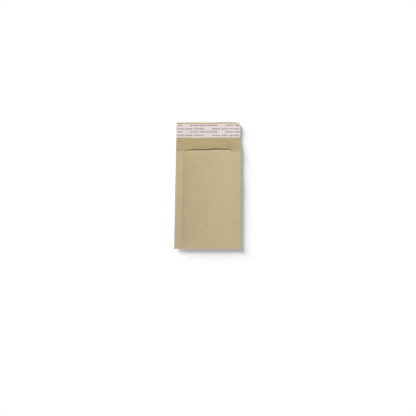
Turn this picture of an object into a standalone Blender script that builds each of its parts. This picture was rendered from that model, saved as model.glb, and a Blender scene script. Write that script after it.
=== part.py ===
"""Padded envelope, lying on its back with the flap open.

One kraft sheet is folded at the foot into a back panel with a flap and a front panel. A folded
web of bubble film lines the pocket and is welded into both side seals. A glue strip under a
peel-off paper crosses the flap.

Units are metres. +X is the width, +Y runs towards the flap and +Z is up. The origin is on the
surface that the envelope lies on, below the middle of its box.
"""
import math

import bmesh
import bpy
from mathutils import Vector

# Outline of the sheet, seen from above
WIDTH = 0.100
POCKET_DEPTH = 0.147
FLAP_LENGTH = 0.043
SEAL_WIDTH = 0.011
LEFT_EDGE_LEAN = 0.0036
CORNER_REACH = 0.012
CORNER_DROP = 0.0016
CORNER_DRAW_IN = 0.0012

# Thicknesses, and the gap between pieces that lie on each other
PAPER = 0.0003
FILM = 0.0002
GLUE = 0.0002
RELEASE_PAPER = 0.0002
GAP = 0.0003

# Swell of the pocket
SEAL_LIFT = 0.0034
CLEAR_HEIGHT = 0.0044
FRONT_SHOULDER = 0.020
BACK_SHOULDER = 0.016
FOOT_REACH = 0.034
FOOT_FULLNESS = 0.20

# The mouth stands open on the right and lies lower on the left
LIP_LOW_FULLNESS = 0.30
LIP_RISE_X = 0.003
LIP_RISE_SPAN = 0.018
LIP_REACH = 0.036

# Bubble film
BUBBLE_DIAMETER = 0.010
BUBBLE_SPACING = 0.002
BUBBLE_HEIGHT = 0.0020
WEB_EXTRA = 0.0003
WEB_SHARE = 0.25
RIM_POINTS = 6
BUBBLE_SIDES = 2 * RIM_POINTS
CROWN_SHARE = 0.62
SQUASHED_SHARE = 0.25
LINER_SETBACK = 0.004
LINER_EDGE_INSET = 0.0006
CAVITY_FOOT = 0.010
CAVITY_PINCH = 0.004

# Flap
FLAP_END_LIFT = 0.0022
FLAP_WAVE = 0.0005
FLAP_WAVE_LENGTH = 0.064
RELEASE_HEIGHT = 0.0207
RELEASE_MARGIN = 0.0021
RELEASE_EDGE_INSET = 0.0004
GLUE_EDGE_INSET = 0.0025

# Mesh density
PANEL_COLUMNS = 22
FOOT_ROWS = 6
BODY_ROWS = 5
LIP_ROWS = 5
FOLD_STEPS = 6
FLAP_ROWS = 6
STRIP_COLUMNS = 12
STRIP_ROWS = 4
SLOPE_STEP = 0.00001

# Worked out from the sizes above
TOTAL_LENGTH = POCKET_DEPTH + FLAP_LENGTH
FOOT_Y = -TOTAL_LENGTH / 2
LIP_Y = FOOT_Y + POCKET_DEPTH
TOP_Y = TOTAL_LENGTH / 2
RIGHT_SEAM_X = WIDTH / 2 - SEAL_WIDTH
LINER_OUTSIDE = PAPER + GAP
LINER_INSIDE = LINER_OUTSIDE + FILM
SEAL_STACK = 2 * LINER_INSIDE
SEAL_TOP = SEAL_LIFT + SEAL_STACK
CLEAR_LOW = LINER_INSIDE + WEB_EXTRA + BUBBLE_HEIGHT
CLEAR_HIGH = CLEAR_LOW + CLEAR_HEIGHT
FULL_HEIGHT = CLEAR_HIGH + CLEAR_LOW
FRONT_RISE = FULL_HEIGHT - SEAL_TOP
FOLD_RADIUS = (SEAL_STACK + FOOT_FULLNESS * (FRONT_RISE + SEAL_LIFT)) / 2
FOOT_START_Y = FOOT_Y + FOLD_RADIUS
LINER_END_Y = LIP_Y - LINER_SETBACK
BUBBLE_PITCH = BUBBLE_DIAMETER + BUBBLE_SPACING

# Linear colours read from the photograph
KRAFT = (0.533, 0.440, 0.266, 1.0)
CLEAR_FILM = (0.80, 0.81, 0.80, 1.0)
HOT_MELT = (0.82, 0.78, 0.62, 1.0)
RELEASE_WHITE = (0.776, 0.694, 0.672, 1.0)


def clear_scene():
    """Remove what is in the scene."""
    for thing in list(bpy.data.objects):
        bpy.data.objects.remove(thing, do_unlink=True)


def finish(name, color, roughness, transmission=0.0):
    """A plain finish with the piece's colour and roughness."""
    made = bpy.data.materials.new(name)
    made.use_nodes = True
    shader = made.node_tree.nodes["Principled BSDF"]
    shader.inputs["Base Color"].default_value = color
    shader.inputs["Roughness"].default_value = roughness
    shader.inputs["Metallic"].default_value = 0.0
    shader.inputs["Transmission Weight"].default_value = transmission
    return made


def kraft():
    """Unbleached kraft paper."""
    return finish("kraft", KRAFT, 0.75)


def clear_film():
    """Clear bubble film."""
    return finish("clear_film", CLEAR_FILM, 0.2, 0.6)


def hot_melt():
    """Pressure-sensitive glue."""
    return finish("hot_melt", HOT_MELT, 0.3)


def release_paper():
    """Coated paper that peels off the glue."""
    return finish("release_paper", RELEASE_WHITE, 0.45)


def place(mesh_data, name, material):
    """Turn the mesh data into a smooth-shaded object of its own."""
    mesh = bpy.data.meshes.new(name)
    mesh_data.to_mesh(mesh)
    mesh_data.free()
    mesh.materials.append(material)
    mesh.shade_smooth()
    thing = bpy.data.objects.new(name, mesh)
    bpy.context.scene.collection.objects.link(thing)
    return thing


def ease(share):
    """Smooth step from 0 to 1 that is level at both ends."""
    share = min(1.0, max(0.0, share))
    return share * share * (3.0 - 2.0 * share)


def left_edge(y):
    """X of the left edge, which leans in towards the flap."""
    return -WIDTH / 2 + LEFT_EDGE_LEAN * (y - FOOT_Y) / TOTAL_LENGTH


def right_edge(y):
    """X of the right edge, drawn in a little at the flap's corner."""
    return WIDTH / 2 - CORNER_DRAW_IN * ease((y - TOP_Y + CORNER_REACH) / CORNER_REACH)


def left_seam(y):
    """X where the left seal ends and the pocket begins."""
    return left_edge(y) + SEAL_WIDTH


def flap_end(x):
    """Y of the flap's free edge, which drops at its right corner."""
    return TOP_Y - CORNER_DROP * ease((x - WIDTH / 2 + CORNER_REACH) / CORNER_REACH)


def side_fullness(x, y, shoulder):
    """How full the pocket stands between its seams: 0 at a seam, 1 past the shoulder."""
    return ease((x - left_seam(y)) / shoulder) * ease((RIGHT_SEAM_X - x) / shoulder)


def foot_fullness(y):
    """How full the pocket stands along its depth, from the foot fold up."""
    return FOOT_FULLNESS + (1.0 - FOOT_FULLNESS) * ease((y - FOOT_START_Y) / FOOT_REACH)


def lip_fullness(x, y):
    """The mouth's bow: the left of the lip lies lower than the right."""
    rise = ease((x - LIP_RISE_X) / LIP_RISE_SPAN + 0.5)
    at_lip = LIP_LOW_FULLNESS + (1.0 - LIP_LOW_FULLNESS) * rise
    return 1.0 + (at_lip - 1.0) * ease((y - LIP_Y + LIP_REACH) / LIP_REACH)


def front_height(x, y):
    """Height of the front panel's outer face."""
    fullness = side_fullness(x, y, FRONT_SHOULDER) * foot_fullness(y) * lip_fullness(x, y)
    return SEAL_TOP + FRONT_RISE * fullness


def back_height(x, y):
    """Height of the back panel's outer face, and of the flap's, which carries it on."""
    panel = SEAL_LIFT * (1.0 - side_fullness(x, y, BACK_SHOULDER) * foot_fullness(y))
    wave = FLAP_WAVE * math.sin(math.tau * (x + WIDTH / 2) / FLAP_WAVE_LENGTH)
    along_flap = ease((y - LIP_Y) / FLAP_LENGTH)
    return panel + (FLAP_END_LIFT + wave - panel) * along_flap


def panel_point(height, x, y, depth, inward):
    """Point of a panel at (x, y), moved by depth along its normal.

    inward is 1 for the back panel, whose pocket side is above it, and -1 for the front.
    """
    slope_x = (height(x + SLOPE_STEP, y) - height(x - SLOPE_STEP, y)) / (2 * SLOPE_STEP)
    slope_y = (height(x, y + SLOPE_STEP) - height(x, y - SLOPE_STEP)) / (2 * SLOPE_STEP)
    normal = Vector((-slope_x, -slope_y, 1.0)).normalized()
    return Vector((x, y, height(x, y))) + normal * depth * inward


def back_point(x, y, depth):
    """Point of the back panel or flap, depth above its outer face."""
    return panel_point(back_height, x, y, depth, 1.0)


def front_point(x, y, depth):
    """Point of the front panel, depth below its outer face."""
    return panel_point(front_height, x, y, depth, -1.0)


def fold_point(x, turn, depth):
    """Point of the foot fold: turn runs from 0 at the back panel to pi at the front panel."""
    thickness = front_height(x, FOOT_START_Y) - back_height(x, FOOT_START_Y)
    radius = thickness / 2
    middle = back_height(x, FOOT_START_Y) + radius
    reach = radius - depth
    return Vector((x, FOOT_Y + radius - reach * math.sin(turn), middle - reach * math.cos(turn)))


def spread(start, end, steps):
    """Evenly spaced values after start, up to end."""
    return [start + (end - start) * (step + 1) / steps for step in range(steps)]


def panel_rows(end_y):
    """Y of each row of a panel, from the foot up to end_y."""
    foot_end = FOOT_START_Y + FOOT_REACH
    lip_start = LIP_Y - LIP_REACH
    rows = spread(FOOT_START_Y, foot_end, FOOT_ROWS)
    rows += spread(foot_end, lip_start, BODY_ROWS)
    return rows + spread(lip_start, end_y, LIP_ROWS)


def wrapped_grid(mesh_data, columns, end_y, depth):
    """Rows of vertices from the back's end_y, round the foot fold, up to the front's end_y.

    columns gives the X of each column at a given Y.
    """
    rows = panel_rows(end_y)
    grid = []
    for y in reversed(rows):
        grid.append([mesh_data.verts.new(back_point(x, y, depth)) for x in columns(y)])
    for step in range(FOLD_STEPS + 1):
        turn = math.pi * step / FOLD_STEPS
        grid.append([mesh_data.verts.new(fold_point(x, turn, depth)) for x in columns(FOOT_Y)])
    for y in rows:
        grid.append([mesh_data.verts.new(front_point(x, y, depth)) for x in columns(y)])
    return grid


def skin(mesh_data, grid):
    """Faces between the rows of a grid of vertices."""
    for row, after in zip(grid, grid[1:]):
        for left in range(len(row) - 1):
            mesh_data.faces.new((row[left], row[left + 1], after[left + 1], after[left]))


def panel_columns(y):
    """X of each column of the kraft sheet: both edges, and the pocket's width between seams."""
    pocket = spread(left_seam(y), RIGHT_SEAM_X, PANEL_COLUMNS - 2)
    return [left_edge(y), left_seam(y)] + pocket + [right_edge(y)]


def thicken(thing, thickness):
    """Give an open sheet its thickness, on the side that its normals face away from."""
    wall = thing.modifiers.new("thickness", "SOLIDIFY")
    wall.thickness = thickness
    wall.offset = -1.0
    wall.use_even_offset = True


def kraft_wrap():
    """The kraft sheet: flap, back panel, foot fold and front panel in one piece."""
    mesh_data = bmesh.new()
    flap = []
    for share in reversed(spread(0.0, 1.0, FLAP_ROWS)):
        row = []
        for x in panel_columns(LIP_Y + share * FLAP_LENGTH):
            y = LIP_Y + share * (flap_end(x) - LIP_Y)
            row.append(mesh_data.verts.new(back_point(x, y, 0.0)))
        flap.append(row)
    skin(mesh_data, flap + wrapped_grid(mesh_data, panel_columns, LIP_Y, 0.0))
    wrap = place(mesh_data, "kraft_wrap", kraft())
    thicken(wrap, PAPER)


class BubbleWeb:
    """The folded bubble film: its plies are one in the side seals and at the foot."""

    def __init__(self):
        self.mesh_data = bmesh.new()
        self.cavity_y = FOOT_Y + CAVITY_FOOT
        self.across = max(2, int((RIGHT_SEAM_X - left_seam(LIP_Y)) / BUBBLE_PITCH))
        row_pitch = BUBBLE_PITCH * math.sin(math.pi / 3)
        self.rows = max(2, int((LINER_END_Y - self.cavity_y) / row_pitch))
        self.row_pitch = (LINER_END_Y - self.cavity_y) / self.rows
        self.shared = {}

    def lattice_x(self, y, column):
        """X of a lattice column: two columns to each bubble, from seam to seam."""
        return left_seam(y) + (RIGHT_SEAM_X - left_seam(y)) * column / (2 * self.across)

    def columns(self, y):
        """X of each outer column: both edges of the film, and two for each lattice column."""
        lattice = [self.lattice_x(y, half / 2) for half in range(4 * self.across + 1)]
        return [left_edge(y) + LINER_EDGE_INSET] + lattice + [right_edge(y) - LINER_EDGE_INSET]

    def inner_point(self, face, x, y):
        """Point of a ply's pocket face: the web is thin at a seam and thicker away from it."""
        low = back_point(x, y, LINER_INSIDE)
        high = front_point(x, y, LINER_INSIDE)
        extra = Vector((0.0, 0.0, min(WEB_EXTRA, WEB_SHARE * (high.z - low.z))))
        return high - extra if face == "front" else low + extra

    def knot(self, face, line, column):
        """Vertex of the pocket's lattice; both faces share those on the seams."""
        on_seam = column in (0, 2 * self.across)
        key = ("seam" if on_seam else face, line, column)
        if key not in self.shared:
            y = self.cavity_y + line * self.row_pitch
            place_at = self.inner_point(face, self.lattice_x(y, column), y)
            self.shared[key] = self.mesh_data.verts.new(place_at)
        return self.shared[key]

    def crown_point(self, face, x, y):
        """Point of a bubble's crown: level with the other crowns, or squashed near a seam."""
        low = self.inner_point("back", x, y)
        high = self.inner_point("front", x, y)
        squashed = SQUASHED_SHARE * (high.z - low.z) / 2
        if face == "front":
            level = min(BUBBLE_HEIGHT, high.z - CLEAR_HIGH)
            return high - Vector((0.0, 0.0, max(squashed, level)))
        level = min(BUBBLE_HEIGHT, CLEAR_LOW - low.z)
        return low + Vector((0.0, 0.0, max(squashed, level)))

    def bubble(self, face, line, first):
        """One bubble and the film round it, between two lattice lines."""
        rim = [self.knot(face, line + 1, first + 2 - side) for side in range(3)]
        rim += [self.knot(face, line, first + side) for side in range(3)]
        y = self.cavity_y + (line + 0.5) * self.row_pitch
        x = self.lattice_x(y, first + 1)
        base = []
        crown = []
        for corner in range(BUBBLE_SIDES):
            turn = math.tau * (corner + 1) / BUBBLE_SIDES
            reach = Vector((math.cos(turn), math.sin(turn))) * BUBBLE_DIAMETER / 2
            at_base = self.inner_point(face, x + reach.x, y + reach.y)
            base.append(self.mesh_data.verts.new(at_base))
            reach *= CROWN_SHARE
            at_crown = self.crown_point(face, x + reach.x, y + reach.y)
            crown.append(self.mesh_data.verts.new(at_crown))
        for corner in range(RIM_POINTS):
            near, far = rim[corner], rim[(corner + 1) % RIM_POINTS]
            start, middle = base[2 * corner], base[2 * corner + 1]
            end = base[(2 * corner + 2) % BUBBLE_SIDES]
            self.mesh_data.faces.new((near, far, middle))
            self.mesh_data.faces.new((near, middle, start))
            self.mesh_data.faces.new((far, end, middle))
        for corner in range(BUBBLE_SIDES):
            after = (corner + 1) % BUBBLE_SIDES
            self.mesh_data.faces.new((base[corner], base[after], crown[after], crown[corner]))
        self.mesh_data.faces.new(crown)

    def flat_cell(self, face, line, first):
        """Flat film at the end of a staggered row, half a bubble wide."""
        corners = [self.knot(face, line, first), self.knot(face, line, first + 1)]
        corners += [self.knot(face, line + 1, first + 1), self.knot(face, line + 1, first)]
        self.mesh_data.faces.new(corners)

    def pocket_face(self, face):
        """The bubbles of one ply, in rows that are staggered by half a pitch."""
        for line in range(self.rows):
            stagger = line % 2
            for cell in range(self.across - stagger):
                self.bubble(face, line, 2 * cell + stagger)
            if stagger:
                self.flat_cell(face, line, 0)
                self.flat_cell(face, line, 2 * self.across - 1)

    def pinch(self):
        """Close the pocket at its foot, where the plies are pressed together."""
        y = self.cavity_y - CAVITY_PINCH
        closed = []
        for column in range(2 * self.across + 1):
            x = self.lattice_x(y, column)
            middle = (front_point(x, y, 0.0) + back_point(x, y, 0.0)) / 2
            closed.append(self.mesh_data.verts.new(middle))
        for face in ("front", "back"):
            for column in range(2 * self.across):
                pair = (self.knot(face, 0, column + 1), self.knot(face, 0, column))
                self.mesh_data.faces.new((closed[column], closed[column + 1]) + pair)

    def close_sides(self, grid):
        """Join the plies along both side edges."""
        last = len(grid) - 1
        for column in (0, len(grid[0]) - 1):
            for row in range(len(grid) // 2):
                loop = [grid[row][column], grid[row + 1][column]]
                loop += [grid[last - row - 1][column], grid[last - row][column]]
                self.mesh_data.faces.new(list(dict.fromkeys(loop)))

    def close_mouth(self, grid):
        """Join the outer and inner faces along the film's cut edge at the mouth."""
        lattice_end = 2 * self.across
        grid_end = 2 * lattice_end + 2
        for face, row in (("back", grid[0]), ("front", grid[-1])):
            for column in range(lattice_end):
                outer = row[2 * column + 1:2 * column + 4]
                inner = [self.knot(face, self.rows, column + 1), self.knot(face, self.rows, column)]
                self.mesh_data.faces.new(outer + inner)
        for edge, beside, column in ((0, 1, 0), (grid_end, grid_end - 1, lattice_end)):
            weld = [grid[0][edge], grid[0][beside], self.knot("front", self.rows, column)]
            self.mesh_data.faces.new(weld + [grid[-1][beside], grid[-1][edge]])

    def build(self):
        """The film as one closed body."""
        grid = wrapped_grid(self.mesh_data, self.columns, LINER_END_Y, LINER_OUTSIDE)
        skin(self.mesh_data, grid)
        self.close_sides(grid)
        self.pocket_face("front")
        self.pocket_face("back")
        self.pinch()
        self.close_mouth(grid)
        bmesh.ops.recalc_face_normals(self.mesh_data, faces=self.mesh_data.faces[:])
        place(self.mesh_data, "bubble_liner", clear_film())


def flap_strip(name, material, low_y, high_y, edge_inset, above, thickness):
    """A flat strip that follows the flap's inner face, above it by a gap."""
    mesh_data = bmesh.new()
    grid = []
    for y in [high_y] + spread(high_y, low_y, STRIP_ROWS):
        start = left_edge(y) + edge_inset
        end = right_edge(y) - edge_inset
        row = []
        for x in [start] + spread(start, end, STRIP_COLUMNS):
            drop = (TOP_Y - flap_end(x)) * (y - LIP_Y) / FLAP_LENGTH
            row.append(mesh_data.verts.new(back_point(x, y - drop, PAPER + above)))
        grid.append(row)
    skin(mesh_data, grid)
    strip = place(mesh_data, name, material)
    thicken(strip, thickness)


def flap_dressing():
    """The glue strip on the flap and the peel-off paper over it."""
    high_y = TOP_Y - RELEASE_MARGIN
    low_y = high_y - RELEASE_HEIGHT
    flap_strip("adhesive_strip", hot_melt(), low_y + GLUE_EDGE_INSET, high_y - GLUE_EDGE_INSET,
               GLUE_EDGE_INSET, GAP, GLUE)
    flap_strip("release_liner", release_paper(), low_y, high_y, RELEASE_EDGE_INSET,
               GAP + GLUE + GAP, RELEASE_PAPER)


def main():
    """Build the envelope."""
    clear_scene()
    kraft_wrap()
    BubbleWeb().build()
    flap_dressing()


main()
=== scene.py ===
"""Looks of a padded envelope: kraft paper, bubble film, the peel-off strip, and a plain studio.

Units are metres. +X is the width, +Y runs towards the flap and +Z is up, as in the frame.
Colours are linear.
"""
import sys
import logging
import math
from dataclasses import dataclass
from enum import Enum
from functools import cached_property

import bpy
import numpy as np
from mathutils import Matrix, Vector


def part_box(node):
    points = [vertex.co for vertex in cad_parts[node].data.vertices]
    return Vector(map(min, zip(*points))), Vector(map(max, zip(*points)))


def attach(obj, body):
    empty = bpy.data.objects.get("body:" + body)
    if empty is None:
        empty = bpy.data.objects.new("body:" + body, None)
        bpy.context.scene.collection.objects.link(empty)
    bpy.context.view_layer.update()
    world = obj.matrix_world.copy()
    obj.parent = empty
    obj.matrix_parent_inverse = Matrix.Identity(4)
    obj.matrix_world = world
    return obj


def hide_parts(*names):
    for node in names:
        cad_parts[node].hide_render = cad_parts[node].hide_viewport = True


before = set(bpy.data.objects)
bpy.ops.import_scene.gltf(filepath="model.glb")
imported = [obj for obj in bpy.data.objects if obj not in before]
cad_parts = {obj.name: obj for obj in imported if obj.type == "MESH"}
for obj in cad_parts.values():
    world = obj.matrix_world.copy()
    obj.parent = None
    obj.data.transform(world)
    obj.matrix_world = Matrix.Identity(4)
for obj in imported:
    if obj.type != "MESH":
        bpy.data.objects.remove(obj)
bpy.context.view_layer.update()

log = logging.getLogger("padded_envelope")

Field = np.ndarray
Pair = tuple[float, float]
Triple = tuple[float, float, float]
Color = Triple
Piece = bpy.types.Object
Material = bpy.types.Material
Socket = bpy.types.NodeSocket

BODY = "root"
SHARP_ANGLE = math.radians(40)
# How far the film ends below the paper's lip.
FILM_SETBACK = 0.004
# Reach of the differences that give a face its slope.
SLOPE_STEP = 0.00001
# Heading of waves that follow one another along the length.
ALONG = math.pi / 2
NOISE_MEAN = 0.5
# Places of sockets whose names other sockets of the node share.
MIX_COLOURS = (6, 7)
MIX_RESULT = 2
RANDOM_RANGE = (2, 3)


def ease(share: Field) -> Field:
    """Smooth step from 0 to 1 that is level at both ends."""
    share = np.clip(share, 0.0, 1.0)
    return share * share * (3.0 - 2.0 * share)


def between(start: Field, end: Field, share: Field) -> Field:
    """Values from start to end, by their share of the way."""
    return start + (end - start) * share


def nearing(place: Field, end: float, reach: float) -> Field:
    """0 until the reach begins, then easing to 1 at its end."""
    return ease((place - end + reach) / reach)


class Ply(Enum):
    """Which panel of the folded sheet, with the direction of its pocket side along Z."""

    BACK = 1.0
    FRONT = -1.0


@dataclass(frozen=True)
class Ripple:
    """Seeded sum of sine waves, as paper has that was bent and laid flat again."""

    height: float
    shortest: float
    longest: float
    waves: int
    seed: int
    heading: float = 0.0
    spread: float = math.pi

    def at(self, x: Field, y: Field) -> Field:
        """Height of the ripple.

        Args:
            x: places across the width.
            y: places along the length.

        Returns:
            The height at each place, within about twice the named one.
        """
        draw = np.random.default_rng(self.seed)
        total = np.zeros(np.broadcast(x, y).shape)
        for _ in range(self.waves):
            turn = self.heading + draw.uniform(-self.spread, self.spread)
            along = x * math.cos(turn) + y * math.sin(turn)
            length = draw.uniform(self.shortest, self.longest)
            total = total + np.sin(math.tau * along / length + draw.uniform(0.0, math.tau))
        return self.height * total / math.sqrt(self.waves)


@dataclass(frozen=True)
class PouchForm:
    """The pouch's sizes, and the two faces that its paper follows.

    The outside sizes come from the frame, and most others are the sizes of the solids. The crown is
    a little lower and rounder than the solids' and the mouth is more even, as in the photograph.
    """

    width: float
    foot_y: float
    lip_y: float
    top_y: float
    height: float
    seal_width: float = 0.011
    left_edge_lean: float = 0.0036
    corner_reach: float = 0.0105
    corner_drop: float = 0.0021
    flap_end_dip: float = 0.0004
    flap_end_rise: float = 0.0006
    flap_end_rise_x: Pair = (0.005, 0.025)
    corner_draw_in: float = 0.0012
    seal_lift: float = 0.0034
    seal_stack: float = 0.0016
    crown_sag: float = 0.0012
    front_shoulder: float = 0.008
    shoulder_share: float = 0.13
    back_shoulder: float = 0.013
    foot_reach: float = 0.034
    foot_turn_reach: float = 0.010
    foot_turn_share: float = 0.50
    foot_fullness: float = 0.20
    lip_low_fullness: float = 0.57
    lip_high_fullness: float = 1.15
    lip_bow: float = 0.00030
    lip_bow_right: float = 0.00070
    lip_bow_fade: float = 0.009
    lip_rise_x: float = 0.008
    lip_rise_span: float = 0.030
    lip_reach: float = 0.036
    flap_end_lift: float = 0.0022
    flap_level: float = 0.0012
    flap_level_reach: float = 0.024
    flap_wave: float = 0.0002
    flap_wave_length: float = 0.064
    paper: float = 0.0003

    @classmethod
    def from_frame(cls, edge_trim: float = 0.0005) -> "PouchForm":
        """Read the outside sizes from the frame.

        Args:
            edge_trim: how far the paper's side edges lie inside the solid's.

        Returns:
            The form with the frame's sizes.
        """
        low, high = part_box("kraft_wrap")
        film_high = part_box("bubble_liner")[1]
        return cls(width=high.x - low.x - 2 * edge_trim, foot_y=low.y, lip_y=film_high.y + FILM_SETBACK,
                   top_y=high.y, height=high.z)

    @property
    def seal_top(self) -> float:
        """Height of the side seals' upper face."""
        return self.seal_lift + self.seal_stack

    @property
    def front_rise(self) -> float:
        """How far the front panel stands above the seals."""
        return self.height - self.crown_sag - self.seal_top

    @property
    def fold_start_y(self) -> float:
        """Y where the panels end and the foot fold begins."""
        return self.foot_y + (self.seal_stack + self.foot_fullness * (self.front_rise + self.seal_lift)) / 2

    @property
    def right_seam(self) -> float:
        """X where the pocket ends and the right seal begins."""
        return self.width / 2 - self.seal_width

    @property
    def flap_length(self) -> float:
        """Length of the flap, from the lip to its free edge."""
        return self.top_y - self.lip_y

    def left_edge(self, y: Field) -> Field:
        """X of the left edge, which leans in towards the flap."""
        return -self.width / 2 + self.left_edge_lean * (y - self.foot_y) / (self.top_y - self.foot_y)

    def right_edge(self, y: Field) -> Field:
        """X of the right edge, drawn in a little at the flap's corner."""
        corner = nearing(y, self.top_y, self.corner_reach)
        return self.width / 2 - self.corner_draw_in * corner

    def left_seam(self, y: Field) -> Field:
        """X where the left seal ends and the pocket begins."""
        return self.left_edge(y) + self.seal_width

    def flap_end(self, x: Field) -> Field:
        """Y of the flap's free edge: a little higher on the right, and dropped at the right corner.

        Args:
            x: places across the width.

        Returns:
            The edge's Y at each place.
        """
        corner = nearing(x, self.width / 2, self.corner_reach)
        start, end = self.flap_end_rise_x
        rise = self.flap_end_rise * nearing(x, end, end - start)
        return self.top_y - self.flap_end_dip + rise - self.corner_drop * corner

    def along_flap(self, y: Field) -> Field:
        """0 below the lip and 1 at the flap's free edge."""
        return ease((y - self.lip_y) / self.flap_length)

    def side_fullness(self, x: Field, y: Field, shoulder: float) -> Field:
        """How full the pocket stands between its seams: 0 at a seam, 1 past the shoulder."""
        return ease((x - self.left_seam(y)) / shoulder) * ease((self.right_seam - x) / shoulder)

    def foot_share(self, y: Field) -> Field:
        """How full the pocket stands along its depth: it rises quickly at the foot fold.

        Args:
            y: places along the length.

        Returns:
            The share of the full height, from foot_fullness to 1.
        """
        above = y - self.fold_start_y
        quick = ease(above / self.foot_turn_reach)
        rise = between(ease(above / self.foot_reach), quick, self.foot_turn_share)
        return self.foot_fullness + (1.0 - self.foot_fullness) * rise

    def crown(self, x: Field, y: Field) -> Field:
        """How full the front stands across its width: a small shoulder, then a broad arch.

        Args:
            x: places across the width.
            y: places along the length.

        Returns:
            The share of the full height: 0 at a seam, 1 half way between the seams.
        """
        left = self.left_seam(y)
        half = (self.right_seam - left) / 2
        inside = np.clip(np.minimum(x - left, self.right_seam - x), 0.0, half)
        arch = 1.0 - (1.0 - inside / half) ** 2
        return between(arch, ease(inside / self.front_shoulder), self.shoulder_share)

    def lip_rise(self, x: Field) -> Field:
        """0 at the left of the mouth and 1 at the right, where the bow is higher."""
        return ease((x - self.lip_rise_x) / self.lip_rise_span + 0.5)

    def lip_share(self, x: Field, y: Field) -> Field:
        """The mouth's bow, as a factor of the front's height: its left is lower than its right."""
        at_lip = between(self.lip_low_fullness, self.lip_high_fullness, self.lip_rise(x))
        return between(1.0, at_lip, nearing(y, self.lip_y, self.lip_reach))

    def lip_shift(self, x: Field, y: Field) -> Field:
        """How far the front's rows are drawn towards the flap: most at the lip, between the seals.

        Args:
            x: places across the width.
            y: places along the length.

        Returns:
            The shift along Y.
        """
        bow = self.lip_bow + self.lip_bow_right * self.lip_rise(x)
        inside = self.side_fullness(x, y, self.lip_bow_fade)
        return bow * inside * nearing(y, self.lip_y, self.lip_reach)

    def front(self, x: Field, y: Field) -> Field:
        """Height of the front panel's outer face."""
        fullness = self.crown(x, y) * self.foot_share(y) * self.lip_share(x, y)
        return self.seal_top + self.front_rise * fullness

    def back(self, x: Field, y: Field) -> Field:
        """Height of the back panel's outer face, and of the flap's.

        Args:
            x: places across the width.
            y: places along the length.

        Returns:
            The height, without relief.
        """
        fullness = self.side_fullness(x, y, self.back_shoulder) * self.foot_share(y)
        panel = self.seal_lift * (1.0 - fullness)
        panel = between(panel, self.flap_level, ease((y - self.lip_y) / self.flap_level_reach))
        wave = self.flap_wave * np.sin(math.tau * (x + self.width / 2) / self.flap_wave_length)
        return panel + (self.flap_end_lift + wave - panel) * self.along_flap(y)


@dataclass(frozen=True)
class BubbleLattice:
    """Where the film's air bubbles stand: rows that are staggered by half a pitch."""

    form: PouchForm
    pitch: float = 0.012
    foot_margin: float = 0.010

    @property
    def start_y(self) -> float:
        """Y of the first row's lower side."""
        return self.form.foot_y + self.foot_margin

    @property
    def end_y(self) -> float:
        """Y of the film's cut edge at the mouth."""
        return self.form.lip_y - FILM_SETBACK

    @property
    def across(self) -> int:
        """Number of bubbles in a full row."""
        pocket = self.form.right_seam - self.form.left_seam(self.form.lip_y)
        return int(pocket / self.pitch)

    @property
    def rows(self) -> int:
        """Number of rows of bubbles."""
        return int((self.end_y - self.start_y) / (self.pitch * math.sin(math.pi / 3)))

    @property
    def row_pitch(self) -> float:
        """Distance between rows."""
        return (self.end_y - self.start_y) / self.rows

    def centres(self) -> Field:
        """Lay the bubbles out, row by row.

        Returns:
            X and Y of each bubble's middle, one bubble to a line.
        """
        places = []
        for row in range(self.rows):
            y = self.start_y + (row + 0.5) * self.row_pitch
            stagger = row % 2
            for cell in range(self.across - stagger):
                share = (cell + 0.5 + stagger / 2) / self.across
                places.append((between(self.form.left_seam(y), self.form.right_seam, share), y))
        return np.array(places)

    def crests(self, x: Field, y: Field) -> Field:
        """A wave that crests over each bubble.

        Args:
            x: places across the width.
            y: places along the length.

        Returns:
            1 over a bubble's middle, down to -0.5 between three bubbles.
        """
        left = self.form.left_seam(y)
        across = (x - left) / (self.form.right_seam - left) * self.across - 0.5
        along = (y - self.start_y) / self.row_pitch - 0.5
        turns = (across - along / 2, across + along / 2, along)
        return sum(np.cos(math.tau * turn) for turn in turns) / 3.0


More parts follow.
